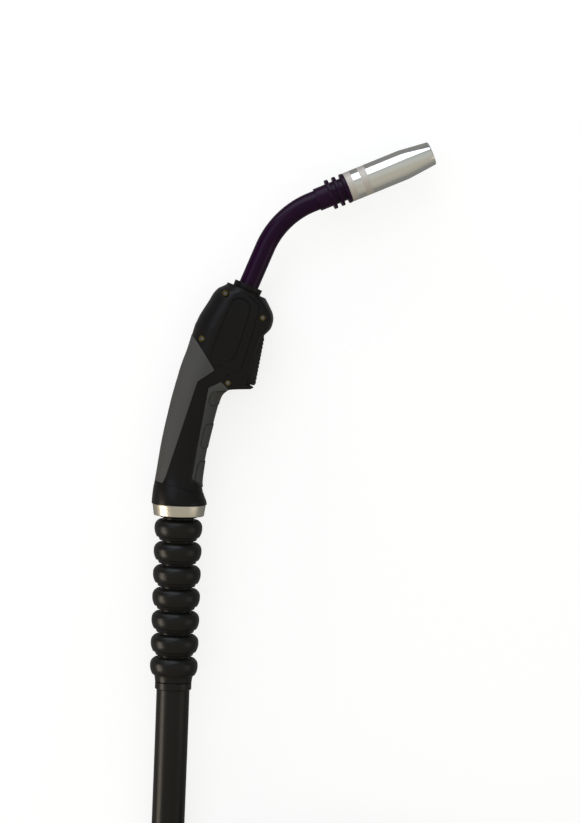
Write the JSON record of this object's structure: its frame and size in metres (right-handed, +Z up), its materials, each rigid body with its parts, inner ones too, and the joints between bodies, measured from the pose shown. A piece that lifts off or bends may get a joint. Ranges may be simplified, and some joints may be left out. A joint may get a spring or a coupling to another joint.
{
  "type": "mig welding torch",
  "caption": "Gas-cooled MIG welding torch with trigger handle, bent insulated neck, chromed gas nozzle, ball-link cable guard, coiled hose and machine plug",
  "frame": {"origin": "On the bench, under the centre of the torch's box: handle, neck, nozzle and cable guard, without the hose, its coil and its plug", "axes": "+Y runs from the hose up the handle to the nozzle end, +X points to the trigger and nozzle side, +Z up from the bench through the torch's right shell"},
  "size_m": [0.4613, 0.9497, 0.059],
  "materials": {
    "black_housing": "satin black moulded nylon",
    "black_plastic": "satin black moulded plastic",
    "black_trigger": "matt dark grey ribbed plastic",
    "grey_rubber": "matt grey soft-touch rubber",
    "zinc_steel": "zinc-plated steel",
    "brass": "bare turned brass",
    "spring_steel": "drawn spring steel",
    "slate_plastic": "slate blue moulded plastic",
    "red_plastic": "glossy red button",
    "lead_insulation": "dark red lead insulation",
    "neck_cover": "glossy near-black aubergine insulation",
    "purple_insulator": "purple moulded insulator",
    "copper": "bare copper alloy",
    "chromed_copper": "bright chrome plate",
    "nickel_ring": "warm satin nickel",
    "copper_braid": "rubber-jacketed power cable",
    "hose_rubber": "matt black rubber",
    "soft_boot": "soft black bend protector",
    "nut_plastic": "dark grey ribbed plastic",
    "gold_pin": "gold-plated contact"
  },
  "bodies": {
    "cable_set": {"hose_run": "hose_rubber", "hose_coil": "hose_rubber", "hose_tail": "hose_rubber", "power_cable": "copper_braid", "end_sleeve": "black_plastic", "link_7": "black_plastic", "plug_boot": "soft_boot", "plug_housing": "black_plastic", "plug_core": "brass", "gas_nipple": "brass", "liner_nut": "brass", "pin_springs": "spring_steel"},
    "guard_link_6": {"link_6": "black_plastic"},
    "guard_link_5": {"link_5": "black_plastic"},
    "guard_link_4": {"link_4": "black_plastic"},
    "guard_link_3": {"link_3": "black_plastic"},
    "guard_link_2": {"link_2": "black_plastic"},
    "guard_link_1": {"link_1": "black_plastic"},
    "handle": {"handle_shell_right": "black_housing", "handle_shell_left": "black_housing", "back_grip_pad": "grey_rubber", "front_grip_pad": "grey_rubber", "base_collar": "black_housing", "case_screws": "zinc_steel", "brass_inserts": "brass", "trigger_pin": "zinc_steel", "trigger_spring": "spring_steel", "switch_carrier": "slate_plastic", "microswitch": "black_plastic", "switch_leads": "lead_insulation", "neck_clamp_ring": "black_housing", "neck_tube": "neck_cover", "neck_conductor": "brass", "wire_liner": "spring_steel", "power_block": "brass", "insulator_sleeve": "purple_insulator", "gas_diffuser": "brass", "contact_tip": "copper", "union_ring": "nickel_ring", "ball_adapter": "black_plastic"},
    "trigger_lever": {"trigger": "black_trigger"},
    "switch_button": {"switch_plunger": "red_plastic"},
    "nozzle": {"gas_nozzle": "chromed_copper"},
    "union_nut": {"plug_union_nut": "nut_plastic"},
    "pin_near": {"contact_pin_1": "gold_pin"},
    "pin_far": {"contact_pin_2": "gold_pin"}
  },
  "joints": [
    {"name": "cable_bend_7", "type": "hinge", "parent": "cable_set", "child": "guard_link_6", "pos_m": [-0.09542, -0.22439, 0.0242], "axis": [0, 0, 1], "range_deg": [-6, 6], "deforming": ["power_cable"]},
    {"name": "cable_bend_6", "type": "hinge", "parent": "guard_link_6", "child": "guard_link_5", "pos_m": [-0.09542, -0.20419, 0.0242], "axis": [0, 0, 1], "range_deg": [-6, 6], "deforming": ["power_cable"]},
    {"name": "cable_bend_5", "type": "hinge", "parent": "guard_link_5", "child": "guard_link_4", "pos_m": [-0.09542, -0.18399, 0.0242], "axis": [0, 0, 1], "range_deg": [-6, 6], "deforming": ["power_cable"]},
    {"name": "cable_bend_4", "type": "hinge", "parent": "guard_link_4", "child": "guard_link_3", "pos_m": [-0.09542, -0.16379, 0.0242], "axis": [0, 0, 1], "range_deg": [-6, 6], "deforming": ["power_cable"]},
    {"name": "cable_bend_3", "type": "hinge", "parent": "guard_link_3", "child": "guard_link_2", "pos_m": [-0.09542, -0.14359, 0.0242], "axis": [0, 0, 1], "range_deg": [-6, 6], "deforming": ["power_cable"]},
    {"name": "cable_bend_2", "type": "hinge", "parent": "guard_link_2", "child": "guard_link_1", "pos_m": [-0.09542, -0.12339, 0.0242], "axis": [0, 0, 1], "range_deg": [-6, 6], "deforming": ["power_cable"]},
    {"name": "cable_bend_1", "type": "hinge", "parent": "guard_link_1", "child": "handle", "pos_m": [-0.09542, -0.10319, 0.0242], "axis": [0, 0, 1], "range_deg": [-6, 6], "deforming": ["power_cable"]},
    {"name": "trigger_press", "type": "hinge", "parent": "handle", "child": "trigger_lever", "pos_m": [-0.03092, 0.07391, 0.0242], "axis": [0, 0, 1], "range_deg": [-6, 0], "stiffness_Nm_per_rad": 0.5, "springref_deg": 1.72, "deforming": ["trigger_spring"]},
    {"name": "switch_click", "type": "slide", "parent": "handle", "child": "switch_button", "axis": [0.9877, -0.1564, 0], "range_m": [-0.0015, 0]},
    {"name": "nozzle_pull", "type": "slide", "parent": "handle", "child": "nozzle", "axis": [0.9135, 0.4067, 0], "range_m": [0, 0.012]},
    {"name": "union_nut_turn", "type": "hinge", "parent": "cable_set", "child": "union_nut", "pos_m": [0.29158, -0.68209, 0.025], "axis": [1, 0, 0], "continuous": true},
    {"name": "pin_near_press", "type": "slide", "parent": "cable_set", "child": "pin_near", "axis": [-1, 0, 0], "range_m": [0, 0.003], "stiffness_N_per_m": 800, "springref_m": -0.002, "deforming": ["pin_springs"]},
    {"name": "pin_far_press", "type": "slide", "parent": "cable_set", "child": "pin_far", "axis": [-1, 0, 0], "range_m": [0, 0.003], "stiffness_N_per_m": 800, "springref_m": -0.002, "deforming": ["pin_springs"]}
  ],
  "couplings": [
    {"joint": "cable_bend_2", "follows": "cable_bend_1", "ratio": 1},
    {"joint": "cable_bend_3", "follows": "cable_bend_1", "ratio": 1},
    {"joint": "cable_bend_4", "follows": "cable_bend_1", "ratio": 1},
    {"joint": "cable_bend_5", "follows": "cable_bend_1", "ratio": 1},
    {"joint": "cable_bend_6", "follows": "cable_bend_1", "ratio": 1},
    {"joint": "cable_bend_7", "follows": "cable_bend_1", "ratio": 1},
    {"joint": "switch_click", "follows": "trigger_press", "m_per_rad": 0.014}
  ]
}
